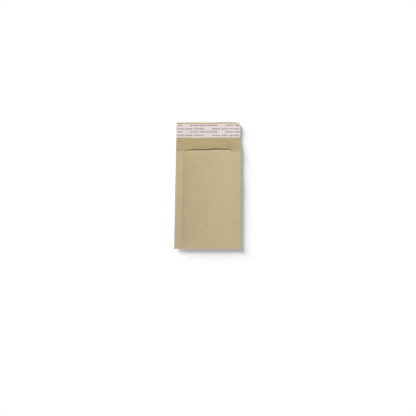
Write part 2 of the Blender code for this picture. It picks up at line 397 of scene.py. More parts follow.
@dataclass(frozen=True)
class PaperRelief:
    """What the paper does beyond its plain form: pressed seals, puckers, swell and creases.

    The telegraph is how far the bubbles show through the paper, the calm edge is the way from a seam
    to where the pocket's relief is full, and the flap is free of creases past its calm.
    """

    form: PouchForm
    lattice: BubbleLattice
    seal_press: float = 0.00035
    seam_outside: float = 0.0005
    seam_inside: float = 0.0011
    telegraph: float = 0.00005
    calm_edge: float = 0.010
    pucker_reach: float = 0.006
    pucker_start: float = 0.0016
    pucker_beat: float = 0.047
    pucker_level: float = 0.55
    pucker_swing: float = 0.45
    seam_phases: Pair = (0.0, 2.1)
    foot_crease_place: Pair = (-0.0285, 0.0095)
    foot_crease_size: Pair = (0.009, 0.0055)
    lip_flare: float = 0.00115
    lip_flare_reach: float = 0.0030
    lip_wave_reach: float = 0.020
    flap_crease_place: Pair = (0.010, 0.0055)
    flap_crease_size: Pair = (0.030, 0.0060)
    flap_crease_floor: float = 0.45
    flap_crease_lift: float = 0.00024
    flap_crease_rise: float = 0.011
    flap_calm: Pair = (0.016, 0.022)
    swell: Ripple = Ripple(height=0.00011, shortest=0.020, longest=0.060, waves=6, seed=3)
    puckers: Ripple = Ripple(height=0.00014, shortest=0.0055, longest=0.013, waves=5, seed=11,
                             heading=ALONG, spread=0.20)
    drift: Ripple = Ripple(height=0.00038, shortest=0.050, longest=0.095, waves=3, seed=5,
                           heading=ALONG, spread=0.15)
    foot_creases: Ripple = Ripple(height=0.00012, shortest=0.0036, longest=0.0062, waves=4, seed=21,
                                  heading=ALONG, spread=0.10)
    lip_waves: Ripple = Ripple(height=0.00016, shortest=0.022, longest=0.045, waves=3, seed=29,
                               spread=0.12)
    flap_creases: Ripple = Ripple(height=0.00012, shortest=0.0036, longest=0.0064, waves=5, seed=37,
                                  heading=ALONG, spread=0.07)
    flap_swell: Ripple = Ripple(height=0.00012, shortest=0.016, longest=0.048, waves=5, seed=43)

    def pocket(self, x: Field, y: Field) -> Field:
        """1 in the pocket and 0 in the side seals."""
        return self.form.side_fullness(x, y, self.calm_edge)

    def seals(self, x: Field, y: Field) -> Field:
        """Where the plies are pressed together, with a crisp step at each seam.

        Args:
            x: places across the width.
            y: places along the length.

        Returns:
            1 in a side seal, and 0 in the pocket and on the flap.
        """
        span = self.seam_outside + self.seam_inside
        left = ease((x - self.form.left_seam(y) + self.seam_outside) / span)
        right = ease((self.form.right_seam - x + self.seam_outside) / span)
        below_lip = 1.0 - ease((y - self.form.lip_y) / self.lip_flare_reach)
        return (1.0 - left * right) * below_lip

    def seam_puckers(self, x: Field, y: Field) -> Field:
        """Small wrinkles that start at a seam and die out in the pocket.

        Args:
            x: places across the width.
            y: places along the length.

        Returns:
            The wrinkles' height.
        """
        total = np.zeros(np.broadcast(x, y).shape)
        insides = (x - self.form.left_seam(y), self.form.right_seam - x)
        for inside, phase in zip(insides, self.seam_phases):
            wave = np.sin(math.tau * y / self.pucker_beat + phase)
            beat = self.pucker_level + self.pucker_swing * wave
            fade = ease(inside / self.pucker_start) * np.exp(-np.maximum(inside, 0.0) / self.pucker_reach)
            total = total + fade * beat * self.puckers.at(x, y + phase)
        return total

    def patch(self, x: Field, y: Field, place: Pair, size: Pair) -> Field:
        """1 at the middle of a patch, fading to 0 past its size."""
        return np.exp(-((x - place[0]) / size[0]) ** 2 - ((y - place[1]) / size[1]) ** 2)

    def side_drift(self, x: Field, y: Field) -> Field:
        """Slow rise and fall of both plies along the side seals."""
        return self.drift.at(x, y) * (1.0 - self.pocket(x, y)) * (1.0 - self.form.along_flap(y))

    def front(self, x: Field, y: Field) -> Field:
        """Rise of the front panel's outer face over its plain form.

        Args:
            x: places across the width.
            y: places along the length.

        Returns:
            The rise along Z.
        """
        form = self.form
        pocket = self.pocket(x, y)
        near_lip = nearing(y, form.lip_y, self.lip_wave_reach)
        flare = nearing(y, form.lip_y, self.lip_flare_reach) ** 2
        place = (self.foot_crease_place[0], form.foot_y + self.foot_crease_place[1])
        creases = self.foot_creases.at(x, y) * self.patch(x, y, place, self.foot_crease_size)
        relief = (self.swell.at(x, y) + self.telegraph * self.lattice.crests(x, y)) * pocket
        relief = relief + self.seam_puckers(x, y) + creases * pocket
        relief = relief + (self.lip_flare * flare + self.lip_waves.at(x, y) * near_lip) * pocket
        return relief + self.side_drift(x, y) - self.seal_press * self.seals(x, y)

    def back(self, x: Field, y: Field) -> Field:
        """Rise of the back panel's and the flap's outer face over their plain form.

        Args:
            x: places across the width.
            y: places along the length.

        Returns:
            The rise along Z.
        """
        form = self.form
        sloped = np.clip(form.back(x, y) / form.seal_lift, 0.0, 1.0)
        panel = (self.swell.at(x, y + form.width) + self.seam_puckers(x, y)) * sloped
        panel = panel + self.side_drift(x, y) + self.seal_press * self.seals(x, y)
        place = (self.flap_crease_place[0], form.lip_y + self.flap_crease_place[1])
        creased = np.maximum(self.patch(x, y, place, self.flap_crease_size), self.flap_crease_floor)
        start, end = self.flap_calm
        above = y - form.lip_y
        on_flap = ease(above / self.flap_crease_rise) * (1.0 - nearing(above, end, end - start))
        creases = (self.flap_crease_lift + self.flap_creases.at(x, y)) * creased * on_flap
        return panel + creases + self.flap_swell.at(x, y) * form.along_flap(y)


@dataclass(frozen=True)
class PaperFaces:
    """The paper's outer faces with their relief, and the layers that lie inside them."""

    form: PouchForm
    relief: PaperRelief

    def height(self, ply: Ply, x: Field, y: Field) -> Field:
        """Height of a panel's outer face, which never dips below what the pouch lies on.

        Args:
            ply: the panel.
            x: places across the width.
            y: places along the length.

        Returns:
            The height, with the relief.
        """
        if ply is Ply.FRONT:
            return self.form.front(x, y) + self.relief.front(x, y)
        return np.maximum(self.form.back(x, y) + self.relief.back(x, y), 0.0)

    def point(self, ply: Ply, x: Field, y: Field, depth: Field) -> Field:
        """Points of a layer of a panel.

        Args:
            ply: the panel.
            x: places across the width.
            y: places along the length.
            depth: how far the layer lies inside the outer face, along its normal.

        Returns:
            X, Y and Z of each point, in the last axis.
        """
        step = SLOPE_STEP
        slope_x = (self.height(ply, x + step, y) - self.height(ply, x - step, y)) / (2 * step)
        slope_y = (self.height(ply, x, y + step) - self.height(ply, x, y - step)) / (2 * step)
        reach = depth * ply.value / np.sqrt(slope_x ** 2 + slope_y ** 2 + 1.0)
        z = self.height(ply, x, y) + reach
        return np.stack((x - slope_x * reach, y - slope_y * reach, z), axis=-1)

    def fold(self, x: Field, turn: Field, depth: float) -> Field:
        """Points of a layer in the foot fold.

        Args:
            x: places across the width.
            turn: from 0 at the back to pi at the front.
            depth: how far the layer lies inside the outer face.

        Returns:
            X, Y and Z of each point, in the last axis.
        """
        start = np.full_like(x, self.form.fold_start_y)
        low = self.height(Ply.BACK, x, start)
        radius = (self.height(Ply.FRONT, x, start) - low) / 2
        reach = radius - depth
        y = self.form.foot_y + radius - reach * np.sin(turn)
        return np.stack((x, y, low + radius - reach * np.cos(turn)), axis=-1)

    def normal_up(self, ply: Ply, x: Field, y: Field) -> Field:
        """Unit normals of a panel's face, pointing to the panel's pocket side.

        Args:
            ply: the panel.
            x: places across the width.
            y: places along the length.

        Returns:
            X, Y and Z of each normal, in the last axis.
        """
        inside = self.point(ply, x, y, np.full_like(x, self.form.paper))
        outside = self.point(ply, x, y, np.zeros_like(x))
        away = inside - outside
        return away / np.linalg.norm(away, axis=-1, keepdims=True)


@dataclass(frozen=True)
class WebGrid:
    """Rows and columns of points over a web that is folded once at the foot.

    The gathers say how much closer the columns stand near the seams, in the pocket and in the seals,
    and the rows near the mouth.
    """

    faces: PaperFaces
    seal_cells: int
    pocket_cells: int
    panel_rows: int
    fold_rows: int
    gather: float = 0.45
    seal_gather: float = 0.7
    mouth_gather: float = 0.62

    def columns(self, y: Field, inset: Field) -> Field:
        """X of each column, closer together near the seams.

        Args:
            y: Y of each row, as a column of values.
            inset: how far the web's side edges lie inside the paper's, one value or as y.

        Returns:
            X with a row for each Y.
        """
        form = self.faces.form
        seal = (np.linspace(0.0, 1.0, self.seal_cells + 1) ** self.seal_gather)[None, :]
        even = np.linspace(0.0, 1.0, self.pocket_cells + 1)[None, :]
        pocket = between(even, (1.0 - np.cos(math.pi * even)) / 2, self.gather)
        left = between(form.left_edge(y) + inset, form.left_seam(y), seal)
        middle = between(form.left_seam(y), form.right_seam, pocket)
        right = between(form.right_edge(y) - inset, form.right_seam, seal)[:, ::-1]
        return np.concatenate((left, middle[:, 1:-1], right), axis=1)

    def panel(self, ply: Ply, end_y: float, depth: float, inset: Field) -> Field:
        """Rows of a panel from the foot fold up to end_y, without the fold's own row.

        Args:
            ply: the panel.
            end_y: where the panel ends. The rows stand closer together there.
            depth: how far the layer lies inside the paper's outer face.
            inset: how far the side edges lie inside the paper's.

        Returns:
            The points, in rows and columns.
        """
        even = np.linspace(0.0, 1.0, self.panel_rows + 1)[1:, None]
        share = between(even, np.sin(even * math.pi / 2), self.mouth_gather)
        y = between(self.faces.form.fold_start_y, end_y, share)
        x = self.columns(y, inset)
        if ply is Ply.FRONT:
            y = y + self.faces.form.lip_shift(x, y)
        return self.faces.point(ply, x, np.broadcast_to(y, x.shape), depth)

    def wrap(self, end_y: float, depth: float, back_inset: float, front_inset: float) -> Field:
        """Rows from the back's end_y, round the foot fold, up to the front's end_y.

        Args:
            end_y: where both panels end.
            depth: how far the layer lies inside the paper's outer face.
            back_inset: the back panel's inset from the paper's side edges.
            front_inset: the front panel's inset.

        Returns:
            The points, in rows and columns.
        """
        back = self.panel(Ply.BACK, end_y, depth, back_inset)[::-1]
        share = np.linspace(0.0, 1.0, self.fold_rows + 1)[:, None]
        foot = np.full_like(share, self.faces.form.foot_y)
        x = self.columns(foot, between(back_inset, front_inset, share))
        fold = self.faces.fold(x, np.broadcast_to(math.pi * share, x.shape), depth)
        front = self.panel(Ply.FRONT, end_y, depth, front_inset)
        return np.concatenate((back, fold, front), axis=0)


@dataclass(frozen=True)
class Marks:
    """One pattern of noise.

    The size is a mark's width. Detail and fineness are the number and the weight of its finer layers,
    stretch is how much longer it is along each axis, and shift sets it apart from other patterns.
    """

    size: float
    detail: float = 3.0
    fineness: float = 0.5
    stretch: Triple = (1.0, 1.0, 1.0)
    shift: float = 0.0


class Wiring:
    """Adds nodes to a node tree and links them."""

    def __init__(self, tree: bpy.types.NodeTree) -> None:
        """Keep the tree that the nodes go into."""
        self.tree = tree

    def give(self, node: bpy.types.Node, inputs: dict) -> None:
        """Set a node's inputs or link them.

        Args:
            node: the node.
            inputs: by name or number of an input, a value, or a socket to link to it.
        """
        for key, value in inputs.items():
            if isinstance(value, Socket):
                self.tree.links.new(value, node.inputs[key])
            else:
                node.inputs[key].default_value = value

    def add(self, kind: str, inputs: dict | None = None, **settings: object) -> bpy.types.Node:
        """Add one node.

        Args:
            kind: the node's type name.
            inputs: its inputs, as give takes them.
            settings: the node's own properties.

        Returns:
            The node.
        """
        node = self.tree.nodes.new(kind)
        for name, value in settings.items():
            setattr(node, name, value)
        self.give(node, inputs or {})
        return node

    def math(self, operation: str, *values: object) -> Socket:
        """A Math node's result from values or sockets."""
        return self.add("ShaderNodeMath", dict(enumerate(values)), operation=operation).outputs[0]


def around(middle: float, reach: float) -> Pair:
    """The span that reaches as far below a number as above it."""
    return middle - reach, middle + reach


def shade(colour: Color, level: float) -> Color:
    """A colour made lighter or darker by one factor."""
    return tuple(min(1.0, part * level) for part in colour)


class FinishWiring(Wiring):
    """The nodes of one material, around its Principled shader."""

    def __init__(self, name: str) -> None:
        """Make the material.

        Args:
            name: the material's name.
        """
        self.material = bpy.data.materials.new(name)
        self.material.use_nodes = True
        super().__init__(self.material.node_tree)
        self.shader = self.tree.nodes["Principled BSDF"]

    @cached_property
    def where(self) -> Socket:
        """The object's own coordinates."""
        return self.add("ShaderNodeTexCoord").outputs["Object"]

    def noise(self, marks: Marks) -> Socket:
        """Noise over the object.

        Args:
            marks: the pattern.

        Returns:
            The noise, about 0.5 on average.
        """
        scale = tuple(1.0 / share for share in marks.stretch)
        mapping = self.add("ShaderNodeMapping", {"Vector": self.where, "Scale": scale,
                                                 "Location": (marks.shift,) * 3})
        texture = self.add("ShaderNodeTexNoise", {"Vector": mapping.outputs[0], "Scale": 1.0 / marks.size,
                                                  "Detail": marks.detail, "Roughness": marks.fineness})
        return texture.outputs[0]

    def span(self, value: Socket, over: Pair, onto: Pair = (0.0, 1.0)) -> Socket:
        """Map one span of a value onto another, clamped."""
        ends = dict(zip(("From Min", "From Max", "To Min", "To Max"), (*over, *onto)))
        return self.add("ShaderNodeMapRange", {"Value": value, **ends}).outputs[0]

    def weigh(self, *parts: tuple[Socket, float]) -> Socket:
        """Add patterns up.

        Args:
            parts: each pattern with its weight.

        Returns:
            The sum.
        """
        total, *others = [self.math("MULTIPLY", pattern, weight) for pattern, weight in parts]
        for other in others:
            total = self.math("ADD", total, other)
        return total

    def blend(self, share: Socket, first: Color | Socket, second: Color | Socket) -> Socket:
        """Mix two colours.

        Args:
            share: the second colour's share.
            first: a colour, or a socket that gives one.
            second: the same.

        Returns:
            The mixed colour.
        """
        colours = [colour if isinstance(colour, Socket) else (*colour, 1.0) for colour in (first, second)]
        node = self.add("ShaderNodeMix", data_type="RGBA")
        self.give(node, {0: share, **dict(zip(MIX_COLOURS, colours))})
        return node.outputs[MIX_RESULT]

    def shades(self, level: Socket, tone: Color, dark: float, light: float) -> Socket:
        """A tone between a dark and a light shade of itself, as the level goes from 0 to 1."""
        return self.blend(level, shade(tone, dark), shade(tone, light))

    def bumps(self, height: Socket, distance: float) -> Socket:
        """The normals of a fine relief, with bumps as high as the distance."""
        node = self.add("ShaderNodeBump", {"Height": height, "Distance": distance, "Strength": 1.0})
        return node.outputs[0]

    def finish(self, inputs: dict[str, object]) -> Material:
        """Set or link the shader's inputs, which completes the material."""
        self.give(self.shader, inputs)
        return self.material


@dataclass(frozen=True)
class KraftFinish:
    """One side of the kraft paper: cloudy tone, fibres along the web, sparse flecks, scuffed edges, and a
    painted highlight, a pale band under the lip.
    """

    name: str
    tone: Color
    roughness: float
    fleck: Color = (0.20, 0.145, 0.075)
    # Pale tone of scuffs and specks, also used for the painted highlight under the lip.
    scuff_and_highlight_tone: Color = (0.66, 0.565, 0.385)
    cloud: Marks = Marks(0.014)
    felt: Marks = Marks(0.0028, detail=4.0, fineness=0.6)
    fibre: Marks = Marks(0.00028, fineness=0.55, stretch=(1.0, 5.0, 1.0))
    streaks: Marks = Marks(0.0016, detail=2.0, stretch=(30.0, 1.0, 1.0), shift=3.0)
    dark_specks: Marks = Marks(0.0006, detail=2.0, stretch=(1.0, 2.2, 1.0), shift=7.0)
    pale_specks: Marks = Marks(0.0006, detail=2.0, stretch=(2.4, 1.0, 1.0), shift=13.0)
    cloud_weight: float = 0.30
    felt_weight: float = 0.35
    fibre_weight: float = 0.35
    streak_weight: float = 0.0
    tone_span: Pair = (0.32, 0.68)
    contrast: float = 0.16
    dark_span: Pair = (0.69, 0.75)
    dark_share: float = 0.40
    pale_span: Pair = (0.70, 0.76)
    pale_share: float = 0.35
    scuff_and_highlight_span: Pair = (0.42, 0.60)
    scuff_and_highlight_shares: Pair = (0.25, 0.45)
    gloss_span: Pair = (0.3, 0.7)
    gloss_swing: float = 0.07
    fibre_bump: float = 0.55
    felt_bump: float = 1.1
    bump: float = 0.000016
    specular: float = 0.15

    def material(self) -> Material:
        """Make the finish.

        Returns:
            The material. Its scuffs, and a painted highlight under the lip, follow the sheet's attribute of
            scuffing and highlight.
        """
        wiring = FinishWiring(self.name)
        cloud, felt, fibre = (wiring.noise(marks) for marks in (self.cloud, self.felt, self.fibre))
        mottle = wiring.weigh((cloud, self.cloud_weight), (felt, self.felt_weight),
                              (fibre, self.fibre_weight))
        streaks = wiring.math("SUBTRACT", wiring.noise(self.streaks), NOISE_MEAN)
        drawn = wiring.math("MULTIPLY", streaks, self.streak_weight)
        level = wiring.span(wiring.math("ADD", mottle, drawn), self.tone_span)
        tone = wiring.shades(level, self.tone, *around(1.0, self.contrast / 2))
        dark = wiring.span(wiring.noise(self.dark_specks), self.dark_span, (0.0, self.dark_share))
        tone = wiring.blend(dark, tone, self.fleck)
        pale = wiring.span(wiring.noise(self.pale_specks), self.pale_span, (0.0, self.pale_share))
        tone = wiring.blend(pale, tone, self.scuff_and_highlight_tone)
        # The attribute holds scuffing at the edges and fold, and a painted highlight just under the front's
        # lip.
        scuffs_and_lip_highlight = wiring.add("ShaderNodeAttribute", attribute_name="scuffs_and_lip_highlight").outputs["Fac"]
        scuff_and_highlight_share = wiring.math("MULTIPLY", scuffs_and_lip_highlight, wiring.span(felt, self.scuff_and_highlight_span, self.scuff_and_highlight_shares))
        relief = wiring.weigh((fibre, self.fibre_bump), (felt, self.felt_bump))
        gloss = around(self.roughness, self.gloss_swing)
        return wiring.finish({"Base Color": wiring.blend(scuff_and_highlight_share, tone, self.scuff_and_highlight_tone),
                              "Roughness": wiring.span(mottle, self.gloss_span, gloss),
                              "Normal": wiring.bumps(relief, self.bump),
                              "Specular IOR Level": self.specular})


@dataclass(frozen=True)
class CutEdgeFinish:
    """The paper's cut edge: paler, with the web's layers as fine lines."""

    name: str = "kraft_cut_edge"
    tone: Color = (0.60, 0.505, 0.33)
    layers: Marks = Marks(0.00010, detail=2.0, stretch=(12.0, 12.0, 1.0))
    tone_span: Pair = (0.35, 0.65)
    shades: Pair = (0.85, 1.1)
    roughness: float = 0.85

    def material(self) -> Material:
        """Make the finish.

        Returns:
            The material.
        """
        wiring = FinishWiring(self.name)
        level = wiring.span(wiring.noise(self.layers), self.tone_span)
        return wiring.finish({"Base Color": wiring.shades(level, self.tone, *self.shades),
                              "Roughness": self.roughness})


@dataclass(frozen=True)
class FilmFinish:
    """Clear to milky bubble film: seen through face on, milky and bright at its rims."""

    name: str = "bubble_film_clear"
    tone: Color = (0.93, 0.94, 0.94)
    roughness: float = 0.16
    wrinkles: Marks = Marks(0.0024, fineness=0.55)
    tone_span: Pair = (0.3, 0.7)
    shades: Pair = (0.92, 1.05)
    bump: float = 0.00004
    rim: float = 0.35
    alphas: Pair = (0.52, 0.88)
    refraction: float = 1.5

    def material(self) -> Material:
        """Make the finish.

        Returns:
            The material. Its alpha rises from the faces to the rims.
        """
        wiring = FinishWiring(self.name)
        wrinkles = wiring.noise(self.wrinkles)
        level = wiring.span(wrinkles, self.tone_span)
        rim = wiring.add("ShaderNodeLayerWeight", {"Blend": self.rim}).outputs["Facing"]
        return wiring.finish({"Base Color": wiring.shades(level, self.tone, *self.shades),
                              "Alpha": wiring.span(rim, (0.0, 1.0), self.alphas),
                              "Normal": wiring.bumps(wrinkles, self.bump),
                              "Roughness": self.roughness, "IOR": self.refraction})


@dataclass(frozen=True)
class CoatedFinish:
    """A coated surface with a faint cloud and fine bump: release paper, glue or ink."""

    name: str
    tone: Color
    roughness: float
    contrast: float
    cloud: Marks
    grain: Marks
    bump: float
    coat: float = 0.0
    coat_roughness: float = 0.3
    tone_span: Pair = (0.7, 1.3)
    gloss_span: Pair = (0.3, 0.7)
    gloss_swing: float = 0.05

    def material(self) -> Material:
        """Make the finish.

        Returns:
            The material.
        """
        wiring = FinishWiring(self.name)
        grain = wiring.noise(self.grain)
        level = wiring.span(wiring.math("ADD", wiring.noise(self.cloud), grain), self.tone_span)
        gloss = around(self.roughness, self.gloss_swing)
        return wiring.finish({"Base Color": wiring.shades(level, self.tone, *around(1.0, self.contrast / 2)),
                              "Roughness": wiring.span(grain, self.gloss_span, gloss),
                              "Normal": wiring.bumps(grain, self.bump),
                              "Coat Weight": self.coat, "Coat Roughness": self.coat_roughness})


KRAFT_OUTSIDE = KraftFinish("kraft_outside", (0.533, 0.437, 0.259), roughness=0.62)
KRAFT_INSIDE = KraftFinish("kraft_inside", (0.459, 0.369, 0.197), roughness=0.74, streak_weight=1.0)
RELEASE_PAPER = CoatedFinish("release_paper_white", (0.669, 0.595, 0.571), roughness=0.42, contrast=0.035,
                             cloud=Marks(0.018), grain=Marks(0.0007, fineness=0.6), bump=0.000006,
                             coat=0.12)
HOT_MELT = CoatedFinish("hot_melt_glue", (0.82, 0.78, 0.62), roughness=0.28, contrast=0.06,
                        cloud=Marks(0.006), grain=Marks(0.0012, fineness=0.6), bump=0.00004)
MAUVE_INK = CoatedFinish("mauve_ink", (0.240, 0.165, 0.195), roughness=0.5, contrast=0.10,
                         cloud=Marks(0.004), grain=Marks(0.0003, fineness=0.6), bump=0.000002)


def add_to_scene(name: str, data: bpy.types.ID) -> Piece:
    """Make an object and link it to the scene.

    Args:
        name: the object's name.
        data: its mesh, lamp or camera.

    Returns:
        The object.
    """
    thing = bpy.data.objects.new(name, data)
    bpy.context.scene.collection.objects.link(thing)
    return thing


def mesh_object(name: str, points: list, faces: list) -> Piece:
    """Make an object from points and faces.

    Args:
        name: the object's name.
        points: X, Y and Z of each point.
        faces: the numbers of each face's points, in order.

    Returns:
        The object, in the scene.
    """
    mesh = bpy.data.meshes.new(name)
    mesh.from_pydata(points, [], faces)
    return add_to_scene(name, mesh)


def lay_grid(name: str, points: Field) -> Piece:
    """An object with a quad between each four neighbouring points.

    Args:
        name: the object's name.
        points: X, Y and Z in rows and columns.

    Returns:
        The object, in the scene.
    """
    rows, columns = points.shape[:2]
    index = np.arange(rows * columns).reshape(rows, columns)
    quads = np.stack((index[:-1, :-1], index[:-1, 1:], index[1:, 1:], index[1:, :-1]), axis=-1)
    return mesh_object(name, points.reshape(-1, 3).tolist(), quads.reshape(-1, 4).tolist())


class Stored(Enum):
    """What an attribute holds: its type, and the member that takes it."""

    NUMBER = ("FLOAT", "value")
    VECTOR = ("FLOAT_VECTOR", "vector")


def give_value(thing: Piece, name: str, values: Field, stored: Stored) -> None:
    """Store something for each point of an object's mesh.

    Args:
        thing: the object.
        name: the attribute's name.
        values: a number or a vector for each point.
        stored: which of the two.
    """
    kind, member = stored.value
    attribute = thing.data.attributes.new(name, kind, "POINT")
    attribute.data.foreach_set(member, np.ascontiguousarray(values, dtype=np.float32).ravel())


def thicken(thing: Piece, thickness: float, materials: list[Material]) -> None:
    """Give a sheet its thickness behind its faces.

    Args:
        thing: the sheet.
        thickness: how thick it is.
        materials: those of the face, and if there are more, of the other side and the cut edge.
    """
    for material in materials:
        thing.data.materials.append(material)
    wall = thing.modifiers.new("thickness", "SOLIDIFY")
    wall.thickness = thickness
    wall.offset = -1.0
    wall.use_even_offset = False
    if len(materials) > 1:
        wall.material_offset = 1
        wall.material_offset_rim = 2


def settle(thing: Piece) -> Piece:
    """Turn what an object's modifiers make into its own plain mesh, smooth but for sharp edges.

    Args:
        thing: the object.

    Returns:
        The object, without modifiers.
    """
    graph = bpy.context.evaluated_depsgraph_get()
    mesh = bpy.data.meshes.new_from_object(thing.evaluated_get(graph), preserve_all_data_layers=True,
                                           depsgraph=graph)
    thing.modifiers.clear()
    old = thing.data
    mesh.name = thing.name
    thing.data = mesh
    bpy.data.meshes.remove(old)
    mesh.shade_smooth()
    mesh.set_sharp_from_angle(angle=SHARP_ANGLE)
    return thing


def hand_over(piece: Piece, node: str | None = None) -> Piece:
    """Put a finished piece into the frame.

    Args:
        piece: the piece.
        node: the solid that it stands for, if any.

    Returns:
        The piece.
    """
    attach(piece, BODY)
    if node:
        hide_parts(node)
    return piece


@dataclass
class KraftSheet:
    """The kraft sheet: flap, back panel, foot fold and front panel in one piece."""

    faces: PaperFaces
    seal_cells: int = 12
    pocket_cells: int = 76
    panel_rows: int = 132
    fold_rows: int = 12
    flap_rows: int = 44
    front_inset: float = 0.00022
    edge_wear: float = 0.0009
    fold_wear: float = 0.0016
    # Reach and weight of the painted highlight under the front's lip, kept with the scuffing.
    lip_highlight_reach: float = 0.0013
    lip_highlight_weight: float = 3.8

    def flap(self, grid: WebGrid) -> Field:
        """Rows of the flap from its free edge down to the lip, without the lip's own row.

        Args:
            grid: the sheet's grid, which gives the columns.

        Returns:
            The points, in rows and columns.
        """
        form = self.faces.form
        share = np.linspace(1.0, 0.0, self.flap_rows + 1)[:-1, None]
        x = grid.columns(form.lip_y + share * form.flap_length, 0.0)
        y = form.lip_y + share * (form.flap_end(x) - form.lip_y)
        return self.faces.point(Ply.BACK, x, y, 0.0)

    def scuffs_and_lip_highlight(self, points: Field) -> Field:
        """How scuffed the paper is along its cut edges and at the foot fold, plus a painted highlight: a pale
        band just under the front's lip, between the seals.

        Args:
            points: the sheet's points, in rows and columns.

        Returns:
            The scuffing of each point, with the painted highlight added under the lip; 0 where there is
            neither.
        """
        form = self.faces.form
        x, y = points[..., 0], points[..., 1]
        side = np.minimum(x - form.left_edge(y), form.right_edge(y) - x)
        side = np.minimum(side, form.flap_end(x) - y)
        cut = np.exp(-np.maximum(side, 0.0) / self.edge_wear)
        fold = np.exp(-np.maximum(y - form.foot_y, 0.0) / self.fold_wear)
        on_front = np.arange(len(points))[:, None] >= len(points) - self.panel_rows
        below_lip = np.maximum(form.lip_y + form.lip_shift(x, y) - y, 0.0)
        between_seals = form.side_fullness(x, y, form.lip_bow_fade)
        # Painted highlight: a pale band under the lip where its edge catches the light, stronger than any
        # scuffing.
        lip = self.lip_highlight_weight * np.exp(-below_lip / self.lip_highlight_reach) * on_front * between_seals
        return np.clip(cut + fold, 0.0, 1.0) + lip

    def build(self) -> list[Piece]:
        """Model and dress the sheet.

        Returns:
            The sheet, alone in a list.
        """
        grid = WebGrid(self.faces, self.seal_cells, self.pocket_cells, self.panel_rows, self.fold_rows)
        wrap = grid.wrap(self.faces.form.lip_y, depth=0.0, back_inset=0.0, front_inset=self.front_inset)
        points = np.concatenate((self.flap(grid), wrap), axis=0)
        sheet = lay_grid("kraft_sheet", points)
        give_value(sheet, "scuffs_and_lip_highlight", self.scuffs_and_lip_highlight(points), Stored.NUMBER)
        finishes = [KRAFT_OUTSIDE.material(), KRAFT_INSIDE.material(), CutEdgeFinish().material()]
        thicken(sheet, self.faces.form.paper, finishes)
        return [hand_over(settle(sheet), "kraft_wrap")]


class PointTree(Wiring):
    """A Geometry Nodes tree that stands a copy of one shape on each point of a mesh."""

    def __init__(self, name: str, sizes: dict[str, float], seeds: tuple[str, ...] = ()) -> None:
        """Make the tree, with a geometry and a material input and its named ones.

        Args:
            name: the tree's name.
            sizes: named sizes with their usual values.
            seeds: names of whole-number seeds.
        """
        super().__init__(bpy.data.node_groups.new(name, "GeometryNodeTree"))
        face = self.tree.interface
        face.new_socket("Geometry", in_out="INPUT", socket_type="NodeSocketGeometry")
        for label, usual in sizes.items():
            face.new_socket(label, in_out="INPUT", socket_type="NodeSocketFloat").default_value = usual
        for label in seeds:
            face.new_socket(label, in_out="INPUT", socket_type="NodeSocketInt")
        face.new_socket("Material", in_out="INPUT", socket_type="NodeSocketMaterial")
        face.new_socket("Geometry", in_out="OUTPUT", socket_type="NodeSocketGeometry")
        self.given = self.add("NodeGroupInput").outputs

    def named(self, name: str) -> Socket:
        """A vector attribute of the points, read by its name."""
        node = self.add("GeometryNodeInputNamedAttribute", {"Name": name}, data_type="FLOAT_VECTOR")
        return node.outputs[0]

    def plant(self, shape: Socket, size: Socket) -> None:
        """Stand the shape on each point, upright on its lean, and end the tree.

        Args:
            shape: the shape, one unit in size.
            size: its size along its own axes at each point.
        """
        lean = self.add("FunctionNodeAlignRotationToVector", {"Vector": self.named("lean")}, axis="Z")
        copies = self.add("GeometryNodeInstanceOnPoints",
                          {"Points": self.given["Geometry"], "Instance": shape, "Scale": size,
                           "Rotation": lean.outputs[0]}).outputs[0]
        real = self.add("GeometryNodeRealizeInstances", {"Geometry": copies}).outputs[0]
        smooth = self.add("GeometryNodeSetShadeSmooth", {"Geometry": real}).outputs[0]
        dressed = self.add("GeometryNodeSetMaterial",
                           {"Geometry": smooth, "Material": self.given["Material"]}).outputs[0]
        self.add("NodeGroupOutput", {0: dressed})

    def run(self, name: str, places: Field, attributes: dict[str, Field], values: dict[str, object]) -> Piece:
        """Run the tree over a set of points, and keep the result as a plain mesh.

        Args:
            name: the piece's name.
            places: X, Y and Z of each point, one to a line.
            attributes: vectors by name, one to a line.
            values: the tree's named inputs, which are set by their sockets' identifiers.

        Returns:
            The piece.
        """
        thing = mesh_object(name, places.tolist(), [])
        for label, vectors in attributes.items():
            give_value(thing, label, vectors, Stored.VECTOR)
        modifier = thing.modifiers.new(self.tree.name, "NODES")
        modifier.node_group = self.tree
        sockets = {item.name: item.identifier for item in self.tree.interface.items_tree
                   if item.item_type == "SOCKET" and item.in_out == "INPUT"}
        for label, value in values.items():
            modifier[sockets[label]] = value
        return settle(thing)


